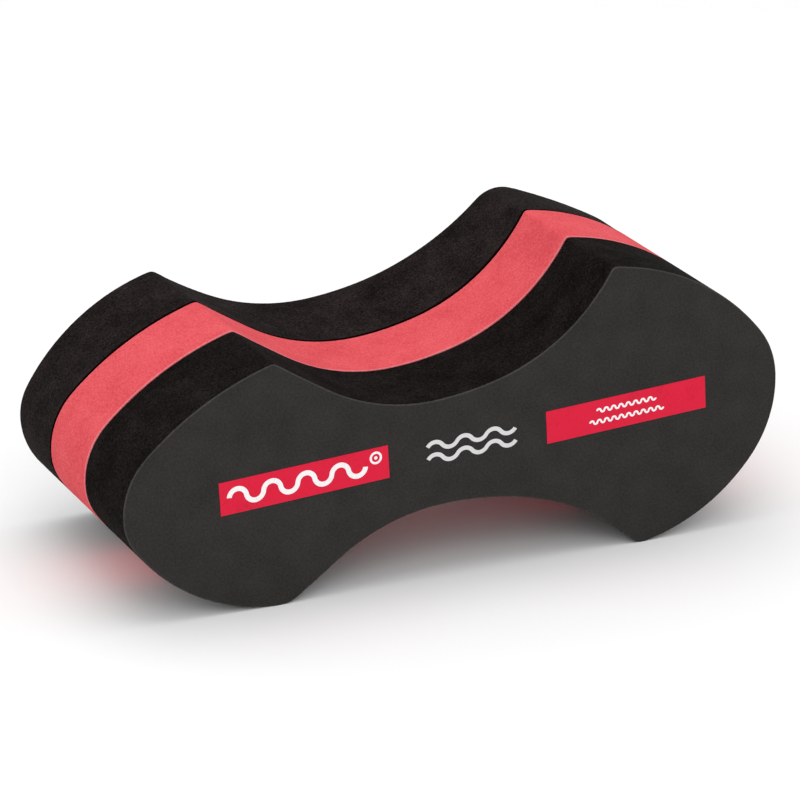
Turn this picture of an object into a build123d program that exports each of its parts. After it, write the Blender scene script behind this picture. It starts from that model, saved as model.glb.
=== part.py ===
"""Pull buoy: three foam slabs glued into one dog-bone block, with ink printed on its front.

+X runs along the length towards the larger lobe, the printed front faces -Y, and +Z is up.
The block stands on its two lower lobes. The origin is the bottom centre of its box.
"""

import math
import os

from build123d import *

os.makedirs("parts", exist_ok=True)

# Slabs and the glue between them, through the depth (mm).
outer_slab = 40.8
middle_slab = 36.8
glue = 0.3

# Outline of the block: x from mid-length, y up from the long axis (mm). Each edge runs over the
# small lobe's shoulder and corner, down into the waist, and up over the large lobe's corner.
small_tip = (-140.1, 0)
large_tip = (140.0, 0)
upper_edge = {
    "small_shoulder": (-129.0, 24.1),
    "small_corner": (-75.4, 50.7),
    "small_flank": (-53.4, 35.1),
    "waist": (-9.3, 21.4),
    "large_flank": (19.0, 24.6),
    "large_corner": (69.3, 60.1),
    "large_shoulder": (133.5, 20.3),
}
lower_edge = {
    "small_shoulder": (-136.8, -11.9),
    "small_corner": (-75.9, -48.6),
    "small_flank": (-55.2, -35.8),
    "waist": (-9.9, -22.1),
    "large_flank": (21.2, -25.9),
    "large_corner": (75.5, -58.9),
    "large_shoulder": (127.3, -33.3),
}
upper_rounds = (2.5, 2.0)
lower_rounds = (12.0, 5.5)

# The cut drifts through the rear slab, so its far upper edge is shallower and rounder.
rear_small_tip = (-138.0, 0)
rear_upper_edge = {
    "small_shoulder": (-133.7, 14.1),
    "small_corner": (-77.5, 51.1),
    "small_flank": (-53.7, 35.6),
    "waist": (-13.2, 25.5),
    "large_flank": (15.3, 28.5),
    "large_corner": (73.4, 58.7),
    "large_shoulder": (121.1, 34.6),
}
rear_lower_edge = lower_edge | {"small_shoulder": (-130.1, -21.4)}
rear_upper_rounds = (4.0, 15.0)

# Printed ink (mm).
ink = 0.1
panel_length = 70.5
panel_height = 13.6
left_panel_centre = (-65.9, 0.9)
right_panel_centre = (72.6, -0.3)
left_wave_start = (-97.3, 0.9)
ring_centre = (-36.0, 3.6)
ring_outer = 2.6
ring_inner = 1.7
ring_dot = 0.7
centre_mark_start = (-14.0, 0.3)
centre_wave_gap = 5.2
right_wave_gap = 4.6
fine_wave = 3.25


def draw_edge(edge, small_end, side):
    """Upper (side 1) or lower (side -1) edge of an outline, as tangent arcs."""
    small_nose = TangentArc(small_end, edge["small_shoulder"], tangent=(0, side))
    TangentArc(edge["small_shoulder"], edge["small_corner"], tangent=small_nose % 1)
    small_bend = TangentArc(edge["waist"], edge["small_flank"], tangent=(-1, 0))
    TangentArc(edge["small_flank"], edge["small_corner"], tangent=small_bend % 1)
    large_bend = TangentArc(edge["waist"], edge["large_flank"], tangent=(1, 0))
    TangentArc(edge["large_flank"], edge["large_corner"], tangent=large_bend % 1)
    large_nose = TangentArc(large_tip, edge["large_shoulder"], tangent=(0, side))
    TangentArc(edge["large_shoulder"], edge["large_corner"], tangent=large_nose % 1)


def round_corners(sketch, edge, rounds):
    """Round the two lobe corners of one edge, the small lobe's first."""
    for corner, radius in zip(("small_corner", "large_corner"), rounds):
        fillet(sketch.vertices().sort_by_distance(edge[corner])[0], radius)


with BuildSketch() as block_outline:
    with BuildLine():
        draw_edge(upper_edge, small_tip, 1)
        draw_edge(lower_edge, small_tip, -1)
    make_face()
    round_corners(block_outline, upper_edge, upper_rounds)
    round_corners(block_outline, lower_edge, lower_rounds)

with BuildSketch() as rear_outline:
    with BuildLine():
        draw_edge(rear_upper_edge, rear_small_tip, 1)
        draw_edge(rear_lower_edge, rear_small_tip, -1)
    make_face()
    round_corners(rear_outline, rear_upper_edge, rear_upper_rounds)
    round_corners(rear_outline, rear_lower_edge, lower_rounds)


def rim_points(outline, samples=4000):
    """Points evenly spaced round an outline."""
    rim = outline.face().outer_wire()
    return [rim @ (i / samples) for i in range(samples)]


def resting_tilt(points):
    """Angle in radians that brings both lower lobes down to one level."""
    low, high = 0.0, math.radians(15)
    for _ in range(40):
        tilt = (low + high) / 2
        heights = [(p.X, p.X * math.sin(tilt) + p.Y * math.cos(tilt)) for p in points]
        small_lobe = min(height for x, height in heights if x < 0)
        large_lobe = min(height for x, height in heights if x > 0)
        if small_lobe > large_lobe:
            low = tilt
        else:
            high = tilt
    return tilt


# The larger lobe lifts its end of the long axis when the block stands on both lobes.
rim = rim_points(block_outline.sketch)
tilt = resting_tilt(rim)
across = [p.X * math.cos(tilt) - p.Y * math.sin(tilt) for p in rim]
upright = [p.X * math.sin(tilt) + p.Y * math.cos(tilt) for p in rim]
block_centre = (-(min(across) + max(across)) / 2, ink, -min(upright))
mid_plane = Plane(
    origin=block_centre,
    x_dir=(math.cos(tilt), 0, math.sin(tilt)),
    z_dir=(0, -1, 0),
)

# Where each layer starts, in front of the mid plane.
middle_start = -middle_slab / 2
front_start = middle_slab / 2 + glue
rear_start = middle_start - glue - outer_slab
face_start = front_start + outer_slab
over_ink = face_start + ink

with BuildPart() as front_foam_layer:
    with BuildSketch(mid_plane.offset(front_start)):
        add(block_outline.sketch)
    extrude(amount=outer_slab)
front_foam_layer.part.label = "front_foam_layer"
export_step(front_foam_layer.part, "parts/front_foam_layer.step")

with BuildPart() as middle_foam_layer:
    with BuildSketch(mid_plane.offset(middle_start)):
        add(block_outline.sketch)
    extrude(amount=middle_slab)
middle_foam_layer.part.label = "middle_foam_layer"
export_step(middle_foam_layer.part, "parts/middle_foam_layer.step")

with BuildPart() as rear_foam_layer:
    with BuildSketch(mid_plane.offset(rear_start)):
        add(rear_outline.sketch)
    with BuildSketch(mid_plane.offset(rear_start + outer_slab)):
        add(block_outline.sketch)
    loft(ruled=True)
rear_foam_layer.part.label = "rear_foam_layer"
export_step(rear_foam_layer.part, "parts/rear_foam_layer.step")

with BuildPart() as front_glue_film:
    with BuildSketch(mid_plane.offset(front_start - glue)):
        add(block_outline.sketch)
    extrude(amount=glue)
front_glue_film.part.label = "front_glue_film"
export_step(front_glue_film.part, "parts/front_glue_film.step")

with BuildPart() as rear_glue_film:
    with BuildSketch(mid_plane.offset(middle_start - glue)):
        add(block_outline.sketch)
    extrude(amount=glue)
rear_glue_film.part.label = "rear_glue_film"
export_step(rear_glue_film.part, "parts/rear_glue_film.step")


def draw_wave(start, wave_length, rise, waves, stroke):
    """A level wave line drawn as alternating arcs, and thickened to its stroke."""
    half = wave_length / 2
    with BuildLine(Plane.XY) as wave:
        for i in range(2 * waves):
            left = (start[0] + i * half, start[1])
            crest = (start[0] + (i + 0.5) * half, start[1] + rise * (-1) ** i)
            right = (start[0] + (i + 1) * half, start[1])
            ThreePointArc(left, crest, right)
    trace(wave.line, line_width=stroke)


with BuildPart() as left_print_panel:
    with BuildSketch(mid_plane.offset(face_start)):
        with Locations(left_panel_centre):
            Rectangle(panel_length, panel_height)
    extrude(amount=ink)
left_print_panel.part.label = "left_print_panel"
export_step(left_print_panel.part, "parts/left_print_panel.step")

with BuildPart() as right_print_panel:
    with BuildSketch(mid_plane.offset(face_start)):
        with Locations(right_panel_centre):
            Rectangle(panel_length, panel_height)
    extrude(amount=ink)
right_print_panel.part.label = "right_print_panel"
export_step(right_print_panel.part, "parts/right_print_panel.step")

with BuildPart() as left_print_waves:
    with BuildSketch(mid_plane.offset(over_ink)):
        draw_wave(left_wave_start, wave_length=14.2, rise=3.1, waves=4, stroke=2.0)
        with Locations(ring_centre):
            Circle(ring_outer)
            Circle(ring_inner, mode=Mode.SUBTRACT)
            Circle(ring_dot)
    extrude(amount=ink)
left_print_waves.part.label = "left_print_waves"
export_step(left_print_waves.part, "parts/left_print_waves.step")

with BuildPart() as centre_print_mark:
    with BuildSketch(mid_plane.offset(face_start)):
        for side in (-1, 1):
            start = (centre_mark_start[0], centre_mark_start[1] + side * centre_wave_gap / 2)
            draw_wave(start, wave_length=12.6, rise=1.6, waves=3, stroke=1.7)
    extrude(amount=ink)
centre_print_mark.part.label = "centre_print_mark"
export_step(centre_print_mark.part, "parts/centre_print_mark.step")

with BuildPart() as right_print_waves:
    with BuildSketch(mid_plane.offset(over_ink)):
        for side, waves in ((1, 8), (-1, 10)):
            start_x = right_panel_centre[0] - waves * fine_wave / 2
            start_y = right_panel_centre[1] + side * right_wave_gap / 2
            draw_wave((start_x, start_y), fine_wave, rise=0.7, waves=waves, stroke=0.8)
    extrude(amount=ink)
right_print_waves.part.label = "right_print_waves"
export_step(right_print_waves.part, "parts/right_print_waves.step")

print("resting tilt, degrees:", round(math.degrees(tilt), 3))
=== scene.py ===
"""Pull buoy: foam slabs, glue lines and printed ink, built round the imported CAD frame.

Everything is in metres in the row frame: +X points towards the larger lobe, the printed front
faces -Y, +Z is up, and the block stands on z = 0.
"""

import math

import bmesh
import bpy
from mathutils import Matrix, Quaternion, Vector, noise


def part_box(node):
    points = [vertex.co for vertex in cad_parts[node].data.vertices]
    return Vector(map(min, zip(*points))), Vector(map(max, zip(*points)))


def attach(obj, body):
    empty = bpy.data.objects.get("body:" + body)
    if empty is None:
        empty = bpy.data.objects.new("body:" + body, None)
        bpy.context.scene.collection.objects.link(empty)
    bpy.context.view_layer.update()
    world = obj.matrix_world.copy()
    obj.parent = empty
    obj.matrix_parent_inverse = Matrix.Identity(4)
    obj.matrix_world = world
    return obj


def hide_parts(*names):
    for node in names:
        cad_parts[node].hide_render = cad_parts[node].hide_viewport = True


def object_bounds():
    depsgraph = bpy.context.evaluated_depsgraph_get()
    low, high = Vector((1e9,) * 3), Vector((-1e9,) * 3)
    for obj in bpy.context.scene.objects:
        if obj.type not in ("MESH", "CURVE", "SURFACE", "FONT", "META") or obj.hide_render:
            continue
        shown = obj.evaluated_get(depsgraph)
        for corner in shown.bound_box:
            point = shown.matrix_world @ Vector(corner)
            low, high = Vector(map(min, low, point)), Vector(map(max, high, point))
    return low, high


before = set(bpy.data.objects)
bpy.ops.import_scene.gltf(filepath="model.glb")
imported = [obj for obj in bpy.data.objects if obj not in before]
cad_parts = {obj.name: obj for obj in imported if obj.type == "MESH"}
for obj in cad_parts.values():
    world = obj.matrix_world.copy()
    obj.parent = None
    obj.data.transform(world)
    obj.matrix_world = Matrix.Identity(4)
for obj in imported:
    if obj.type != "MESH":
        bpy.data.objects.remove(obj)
cad_low, cad_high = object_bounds()

MM = 0.001

# Camera: from the front left and a little above, far enough back for a long lens.
CAMERA_AZIMUTH = math.radians(25.03)
CAMERA_HEIGHT = math.radians(20.69)
CAMERA_ROLL = math.radians(0.49)
CAMERA_DISTANCE = 1.676
CAMERA_AIM = Vector((0.42, -2.79, 53.25)) * MM
LENS = 189.0

# Studio: a soft key at the front left, a wide light overhead, and even fill all round.
SKY = 0.85
KEY_PLACE = (-0.55, -1.2, 0.95)
KEY_SIZE = 1.0
KEY_POWER = 4.0
TOP_PLACE = (-0.1, 0.1, 1.8)
TOP_SIZE = 1.8
TOP_POWER = 10.0
FLOOR_REACH = 6.0
FLOOR_SHADE = 0.93

# How finely the slabs are meshed.
COLUMNS = 600
FACE_ROWS = 40
HIDDEN_ROWS = 4
WALL_STEP = 1.3 * MM
ROUND_STEPS = 5
SAMPLE = 0.1 * MM

# Rounded edges: the block's outer rims, the red slab's seams, and the black slabs' seams.
EDGE_ROUND = 0.5 * MM
SEAM_ROUND = 0.6 * MM
GLUED_ROUND = 1.0 * MM
GLUE_ROUND = 0.05 * MM
GLUE_INSET = 1.1 * MM

# How far the surfaces depart from the CAD, and the gap kept between the feet and the floor.
SWELL = 0.15 * MM
CUT_WAVE = 0.06 * MM
CUT_LINE = 0.02 * MM
CELL_RELIEF = 0.035 * MM
FACE_DENT = 0.05 * MM
FOOT_GAP = 0.02 * MM

# How quickly that relief varies, per metre, and how quickly the face's dents fade at its rim.
WAVE_RATE = 40
LINE_RATE = 600
LINE_RATE_IN_DEPTH = 12
CELL_RATE = 1700
DENT_RATE = 30
DENT_FADE = 6

# Sizes of the detail in the foam and in the ink, and how much the cloudy patches show.
GRAIN = 0.9 * MM
CLOUD = 14 * MM
CELL = 1.1 * MM
PIT = 0.35 * MM
CLOUD_SHARE = 0.3
INK_SPECK = 0.8 * MM
INK_CLOUD = 9 * MM
INK_CLOUD_SHARE = 0.35
INK_BUMP = 0.05 * MM

# Which of a slab's materials each part of it takes. The rounded rim rows take a lighter colour, a
# painted highlight, and the black slabs' seam rows take the glue's near-black, painted shade in the
# seams.
WALL, FACE, RIM_HIGHLIGHT, SEAM_SHADE = 0, 1, 2, 3


# ---------------------------------------------------------------- camera, light, floor

def place_in_scene(piece):
    bpy.context.scene.collection.objects.link(piece)


def make_camera():
    towards = Vector((
        math.sin(CAMERA_AZIMUTH) * math.cos(CAMERA_HEIGHT),
        math.cos(CAMERA_AZIMUTH) * math.cos(CAMERA_HEIGHT),
        -math.sin(CAMERA_HEIGHT),
    ))
    data = bpy.data.cameras.new("camera")
    data.lens = LENS
    camera = bpy.data.objects.new("camera", data)
    camera.location = CAMERA_AIM - towards * CAMERA_DISTANCE
    camera.rotation_mode = "QUATERNION"
    level = towards.to_track_quat("-Z", "Y")
    camera.rotation_quaternion = level @ Quaternion((0, 0, 1), CAMERA_ROLL)
    place_in_scene(camera)
    bpy.context.scene.camera = camera


def add_light(name, place, size, power):
    data = bpy.data.lights.new(name, "AREA")
    data.shape = "DISK"
    data.size = size
    data.energy = power
    light = bpy.data.objects.new(name, data)
    light.location = place
    light.rotation_mode = "QUATERNION"
    towards = (cad_low + cad_high) / 2 - Vector(place)
    light.rotation_quaternion = towards.to_track_quat("-Z", "Y")
    place_in_scene(light)


def make_sky():
    world = bpy.data.worlds.new("studio")
    world.use_nodes = True
    background = world.node_tree.nodes["Background"]
    background.inputs["Color"].default_value = (1, 1, 1, 1)
    background.inputs["Strength"].default_value = SKY
    bpy.context.scene.world = world


def make_floor():
    mesh = bpy.data.meshes.new("floor")
    r = FLOOR_REACH
    mesh.from_pydata([(-r, -r, 0), (r, -r, 0), (r, r, 0), (-r, r, 0)], [], [(0, 1, 2, 3)])
    floor = bpy.data.objects.new("floor", mesh)
    place_in_scene(floor)
    shade = Material("floor")
    shade.fixed("Base Color", (FLOOR_SHADE, FLOOR_SHADE, FLOOR_SHADE, 1))
    shade.fixed("Roughness", 0.9)
    shade.fixed("Specular IOR Level", 0.1)
    mesh.materials.append(shade.material)


# ---------------------------------------------------------------- materials

class Material:
    """A Principled material, with short names for the nodes that the surfaces need."""

    def __init__(self, name):
        self.material = bpy.data.materials.new(name)
        self.material.use_nodes = True
        self.tree = self.material.node_tree
        self.shader = self.tree.nodes["Principled BSDF"]
        self.place = self.tree.nodes.new("ShaderNodeTexCoord").outputs["Object"]

    def fixed(self, socket, value):
        self.shader.inputs[socket].default_value = value

    def drive(self, socket, source):
        self.tree.links.new(source, self.shader.inputs[socket])

    def noise(self, size, detail=2.0, roughness=0.5):
        """Soft noise whose blobs are about size across."""
        node = self.tree.nodes.new("ShaderNodeTexNoise")
        node.inputs["Scale"].default_value = 1 / size
        node.inputs["Detail"].default_value = detail
        node.inputs["Roughness"].default_value = roughness
        self.tree.links.new(self.place, node.inputs["Vector"])
        return node.outputs["Fac"]

    def cells(self, size):
        """Distance from the middle of the nearest of many cells about size across."""
        node = self.tree.nodes.new("ShaderNodeTexVoronoi")
        node.inputs["Scale"].default_value = 1 / size
        self.tree.links.new(self.place, node.inputs["Vector"])
        return node.outputs["Distance"]

    def remap(self, value, low, high, to_low, to_high):
        node = self.tree.nodes.new("ShaderNodeMapRange")
        node.inputs["From Min"].default_value = low
        node.inputs["From Max"].default_value = high
        node.inputs["To Min"].default_value = to_low
        node.inputs["To Max"].default_value = to_high
        self.tree.links.new(value, node.inputs["Value"])
        return node.outputs["Result"]

    def blend(self, first, second, share):
        """share of the second value and the rest of the first."""
        node = self.tree.nodes.new("ShaderNodeMix")
        node.inputs["Factor"].default_value = share
        self.tree.links.new(first, node.inputs["A"])
        self.tree.links.new(second, node.inputs["B"])
        return node.outputs["Result"]

    def ramp(self, value, stops):
        """A colour for each value, from (place, colour) stops."""
        node = self.tree.nodes.new("ShaderNodeValToRGB")
        scale = node.color_ramp.elements
        while len(scale) < len(stops):
            scale.new(0.5)
        for mark, (place, colour) in zip(scale, stops):
            mark.position = place
            mark.color = (*colour, 1)
        self.tree.links.new(value, node.inputs["Fac"])
        return node.outputs["Color"]

    def bump(self, height, distance, under=None):
        node = self.tree.nodes.new("ShaderNodeBump")
        node.inputs["Strength"].default_value = 0.6
        node.inputs["Distance"].default_value = distance
        self.tree.links.new(height, node.inputs["Height"])
        if under is not None:
            self.tree.links.new(under, node.inputs["Normal"])
        return node.outputs["Normal"]


def foam(name, dark, middle, light, specular, cell_depth):
    """Closed-cell foam: cut cells of about 1 mm, finer pits, and cloudy patches in its colour."""
    m = Material(name)
    grain = m.noise(GRAIN, 3, 0.75)
    clouds = m.noise(CLOUD, 3, 0.6)
    tone = m.blend(grain, clouds, CLOUD_SHARE)
    m.drive("Base Color", m.ramp(tone, [(0.36, dark), (0.5, middle), (0.66, light)]))
    m.drive("Roughness", m.remap(grain, 0.3, 0.7, 0.98, 0.82))
    m.fixed("Specular IOR Level", specular)
    cells = m.bump(m.cells(CELL), cell_depth)
    m.drive("Normal", m.bump(m.noise(PIT), cell_depth / 2, cells))
    return m.material


def ink(name, worn, full, roughness, specular):
    """Screen-printed ink: nearly even, thinner over the pits of the foam under it."""
    m = Material(name)
    cover = m.blend(m.noise(INK_SPECK, 3, 0.7), m.noise(INK_CLOUD, 2), INK_CLOUD_SHARE)
    m.drive("Base Color", m.ramp(cover, [(0.3, worn), (0.46, full)]))
    m.drive("Roughness", m.remap(cover, 0.3, 0.7, roughness + 0.1, roughness - 0.1))
    m.fixed("Specular IOR Level", specular)
    m.drive("Normal", m.bump(m.cells(CELL), INK_BUMP))
    return m.material


# ---------------------------------------------------------------- outlines

def rim_of(node, depth):
    """The outline of a CAD slab's flat face at one depth, in order, as (x, z) points."""
    mesh = bmesh.new()
    mesh.from_mesh(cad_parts[node].data)
    bmesh.ops.remove_doubles(mesh, verts=mesh.verts, dist=0.001 * MM)

    def on_face(part):
        return all(abs(v.co.y - depth) < 0.01 * MM for v in part.verts)

    links = {}
    for edge in mesh.edges:
        if on_face(edge) and sum(on_face(face) for face in edge.link_faces) == 1:
            a, b = edge.verts
            links.setdefault(a, []).append(b)
            links.setdefault(b, []).append(a)
    start = min(links, key=lambda v: v.co.x)
    loop = [start]
    last, here = None, start
    while True:
        step = next(v for v in links[here] if v is not last)
        if step is start:
            break
        loop.append(step)
        last, here = here, step
    points = [Vector((v.co.x, v.co.z)) for v in loop]
    mesh.free()
    return points


def slope(before, here, after):
    """The direction of a smooth curve at here, per unit of length."""
    d1 = (here - before).length
    d2 = (after - here).length
    return ((here - before) / d1 * d2 + (after - here) / d2 * d1) / (d1 + d2)


def smooth_run(points, count):
    """count + 1 points evenly spaced on a smooth curve through the given points."""
    first = 2 * points[0] - points[1]
    last = 2 * points[-1] - points[-2]
    row = [first, *points, last]
    fine = []
    for p0, p1, p2, p3 in zip(row, row[1:], row[2:], row[3:]):
        length = (p2 - p1).length
        start = slope(p0, p1, p2) * length
        end = slope(p1, p2, p3) * length
        steps = max(2, int(length / SAMPLE))
        for k in range(steps):
            t = k / steps
            bend = 3 * t**2 - 2 * t**3
            fine.append(p1.lerp(p2, bend) + (t**3 - 2 * t**2 + t) * start + (t**3 - t**2) * end)
    fine.append(points[-1])
    reached = [0.0]
    for a, b in zip(fine, fine[1:]):
        reached.append(reached[-1] + (b - a).length)
    run = []
    k = 0
    for i in range(count + 1):
        target = reached[-1] * i / count
        while k < len(fine) - 2 and reached[k + 1] < target:
            k += 1
        share = (target - reached[k]) / (reached[k + 1] - reached[k])
        run.append(fine[k].lerp(fine[k + 1], min(max(share, 0), 1)))
    return run


def even_rim(node, depth):
    """The outline as an even loop: over the top from the small tip, and back underneath."""
    loop = rim_of(node, depth)
    far = max(range(len(loop)), key=lambda i: loop[i].x)
    sides = [loop[:far + 1], [loop[0]] + loop[:far - 1:-1]]
    lower, upper = sorted(sides, key=lambda side: side[len(side) // 2].y)
    return smooth_run(upper, COLUMNS) + smooth_run(lower, COLUMNS)[-2:0:-1]


def outward(rim):
    """Unit normals that point out of a loop that runs over the top from -X to +X."""
    normals = []
    for i in range(len(rim)):
        along = rim[(i + 1) % len(rim)] - rim[i - 1]
        normals.append(Vector((-along.y, along.x)).normalized())
    return normals


# ---------------------------------------------------------------- slabs

def round_rows(radius, start, away):
    """(depth, inset) of each ring round a softened edge, from the flat face to the wall."""
    rows = []
    for i in range(ROUND_STEPS + 1):
        turn = math.pi / 2 * i / ROUND_STEPS
        rows.append((start + away * radius * (1 - math.cos(turn)), radius * (1 - math.sin(turn))))
    return rows


def wall_relief(place, seed):
    """How far the cut wall stands out: its spring back, a slow wave, cut lines and cells."""
    shifted = place + Vector((0, 0, seed))
    wave = noise.noise(shifted * WAVE_RATE)
    along_cut = Vector((LINE_RATE, LINE_RATE_IN_DEPTH, LINE_RATE))
    lines = noise.noise(shifted * along_cut)
    cells = noise.noise(shifted * CELL_RATE)
    return SWELL + wave * CUT_WAVE + lines * CUT_LINE + cells * CELL_RELIEF


def slab_mesh(name, rims, depths, rounds, edge_kinds, face_rows, seed):
    """A closed slab between two rims. edge_kinds are its near and far edges' materials."""
    near, far = depths
    near_round, far_round = rounds
    wall = far - near - near_round - far_round
    steps = max(2, round(wall / WALL_STEP))
    rings = round_rows(near_round, near, 1)
    rings += [(near + near_round + wall * i / steps, 0.0) for i in range(1, steps)]
    rings += round_rows(far_round, far, -1)[::-1]
    normals = [outward(rim) for rim in rims]
    count = len(rims[0])
    half = count // 2
    verts, faces, kinds = [], [], []
    for depth, inset in rings:
        share = (depth - near) / (far - near)
        for i in range(count):
            point = rims[0][i].lerp(rims[1][i], share)
            normal = normals[0][i].lerp(normals[1][i], share).normalized()
            relief = wall_relief(Vector((point.x, depth, point.y)), seed)
            point = point + normal * (relief - inset)
            verts.append((point.x, depth, max(point.y, FOOT_GAP)))
    bands = len(rings) - 1
    for ring in range(bands):
        kind = WALL
        if ring < ROUND_STEPS:
            kind = edge_kinds[0]
        if ring >= bands - ROUND_STEPS:
            kind = edge_kinds[1]
        for i in range(count):
            a = ring * count + i
            b = ring * count + (i + 1) % count
            faces.append((a, b, b + count, a + count))
            kinds.append(kind)

    def close(ring, rows, side):
        """A grid of faces across the slab's flat end, from its upper rim to its lower rim."""
        base = ring * count
        tips = (base, base + half)
        grid = [[base + i for i in range(half + 1)]]
        for row in range(1, rows):
            inner = []
            for i in range(1, half):
                top = Vector(verts[base + i])
                bottom = Vector(verts[base + count - i])
                point = top.lerp(bottom, row / rows)
                from_rim = min(row, rows - row) / rows
                from_tip = min(i, half - i) / half
                depth = FACE_DENT * min(1, DENT_FADE * from_rim, DENT_FADE * from_tip)
                dent = (noise.noise(point * DENT_RATE + Vector((0, seed, 0))) - 1) * depth
                inner.append(len(verts))
                verts.append((point.x, point.y + side * dent, point.z))
            grid.append([tips[0], *inner, tips[1]])
        grid.append([tips[0], *(base + count - i for i in range(1, half)), tips[1]])
        for upper, lower in zip(grid, grid[1:]):
            for i in range(half):
                corners = (upper[i], lower[i], lower[i + 1], upper[i + 1])
                face = list(dict.fromkeys(corners))
                faces.append(tuple(face if side < 0 else reversed(face)))
                kinds.append(FACE)

    close(0, face_rows[0], -1)
    close(len(rings) - 1, face_rows[1], 1)
    mesh = bpy.data.meshes.new(name)
    mesh.from_pydata(verts, [], faces)
    mesh.polygons.foreach_set("material_index", kinds)
    mesh.polygons.foreach_set("use_smooth", [True] * len(faces))
    mesh.update()
    return mesh


def add_piece(name, mesh, node, materials):
    piece = bpy.data.objects.new(name, mesh)
    place_in_scene(piece)
    for material in materials:
        mesh.materials.append(material)
    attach(piece, "root")
    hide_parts(node)
    return piece


def add_slab(name, node, materials, rounds, edge_kinds, face_rows, seed):
    low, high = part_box(node)
    depths = (low.y, high.y)
    rims = [even_rim(node, depth) for depth in depths]
    mesh = slab_mesh(name, rims, depths, rounds, edge_kinds, face_rows, seed)
    add_piece(name, mesh, node, materials)


def add_glue(name, node, material):
    """The glue film, cut back a little into the seam between two slabs."""
    low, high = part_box(node)
    rim = even_rim(node, low.y)
    rim = [point - normal * GLUE_INSET for point, normal in zip(rim, outward(rim))]
    rounds = (GLUE_ROUND, GLUE_ROUND)
    rows = (HIDDEN_ROWS, HIDDEN_ROWS)
    kinds = (WALL, WALL)
    mesh = slab_mesh(name, (rim, rim), (low.y, high.y), rounds, kinds, rows, seed=9.0)
    add_piece(name, mesh, node, (material, material))


def paint(node, material):
    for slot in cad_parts[node].material_slots:
        slot.material = material


# ---------------------------------------------------------------- the buoy

make_camera()
make_sky()
add_light("key", KEY_PLACE, KEY_SIZE, KEY_POWER)
add_light("top", TOP_PLACE, TOP_SIZE, TOP_POWER)
make_floor()
bpy.context.scene.view_settings.view_transform = "Standard"

# The front and rear slabs are one black foam. The rear slab's walls are coloured about twice as light
# as the front's: painted light for how the light fell on the two slabs.
front_wall = foam(
    "front_cut_foam", (0.0012, 0.0008, 0.0008), (0.0078, 0.0060, 0.0057), (0.021, 0.017, 0.016),
    specular=0.02, cell_depth=0.16 * MM,
)
rear_wall = foam(
    "rear_cut_foam", (0.0026, 0.0016, 0.0016), (0.0145, 0.0110, 0.0106), (0.033, 0.026, 0.025),
    specular=0.02, cell_depth=0.16 * MM,
)
charcoal_skin = foam(
    "charcoal_skin_foam", (0.021, 0.0195, 0.0185), (0.029, 0.0272, 0.0258), (0.038, 0.036, 0.034),
    specular=0.10, cell_depth=0.05 * MM,
)
coral_wall = foam(
    "coral_cut_foam", (0.57, 0.056, 0.070), (0.69, 0.086, 0.101), (0.77, 0.128, 0.144),
    specular=0.05, cell_depth=0.12 * MM,
)
# Painted highlight: lighter colours on the rounded rims (the black slabs' outer rims and the red
# slab's seam edges) for the light these edges catch.
charcoal_rim_highlight = foam(
    "charcoal_rim_painted_highlight", (0.030, 0.028, 0.027), (0.046, 0.043, 0.041), (0.062, 0.059, 0.056),
    specular=0.10, cell_depth=0.05 * MM,
)
coral_rim_highlight = foam(
    "coral_rim_painted_highlight", (0.62, 0.12, 0.14), (0.74, 0.18, 0.20), (0.82, 0.24, 0.26),
    specular=0.05, cell_depth=0.05 * MM,
)
# The glue film is a real part. Its near-black, also put on the black slabs' rounded seam edges, is
# painted shade in the seams between the slabs.
glue = ink("glue", (0.002, 0.0003, 0.0003), (0.007, 0.0006, 0.0008), roughness=0.8, specular=0.0)

hidden = (HIDDEN_ROWS, HIDDEN_ROWS)
add_slab("front_foam", "front_foam_layer",
         (front_wall, charcoal_skin, charcoal_rim_highlight, glue),
         (EDGE_ROUND, GLUED_ROUND), (RIM_HIGHLIGHT, SEAM_SHADE), (FACE_ROWS, HIDDEN_ROWS), seed=1.0)
add_slab("middle_foam", "middle_foam_layer", (coral_wall, coral_wall, coral_rim_highlight),
         (SEAM_ROUND, SEAM_ROUND), (RIM_HIGHLIGHT, RIM_HIGHLIGHT), hidden, seed=2.0)
add_slab("rear_foam", "rear_foam_layer",
         (rear_wall, charcoal_skin, charcoal_rim_highlight, glue),
         (GLUED_ROUND, EDGE_ROUND), (SEAM_SHADE, RIM_HIGHLIGHT), (HIDDEN_ROWS, FACE_ROWS), seed=3.0)
add_glue("front_glue", "front_glue_film", glue)
add_glue("rear_glue", "rear_glue_film", glue)

crimson = ink("crimson_ink", (0.52, 0.009, 0.033), (0.69, 0.010, 0.043), roughness=0.6, specular=0.15)
white = ink("white_ink", (0.74, 0.68, 0.69), (0.90, 0.87, 0.88), roughness=0.6, specular=0.15)
silver = ink("silver_ink", (0.46, 0.46, 0.46), (0.66, 0.66, 0.66), roughness=0.45, specular=0.4)
paint("left_print_panel", crimson)
paint("right_print_panel", crimson)
paint("left_print_waves", white)
paint("right_print_waves", white)
paint("centre_print_mark", silver)
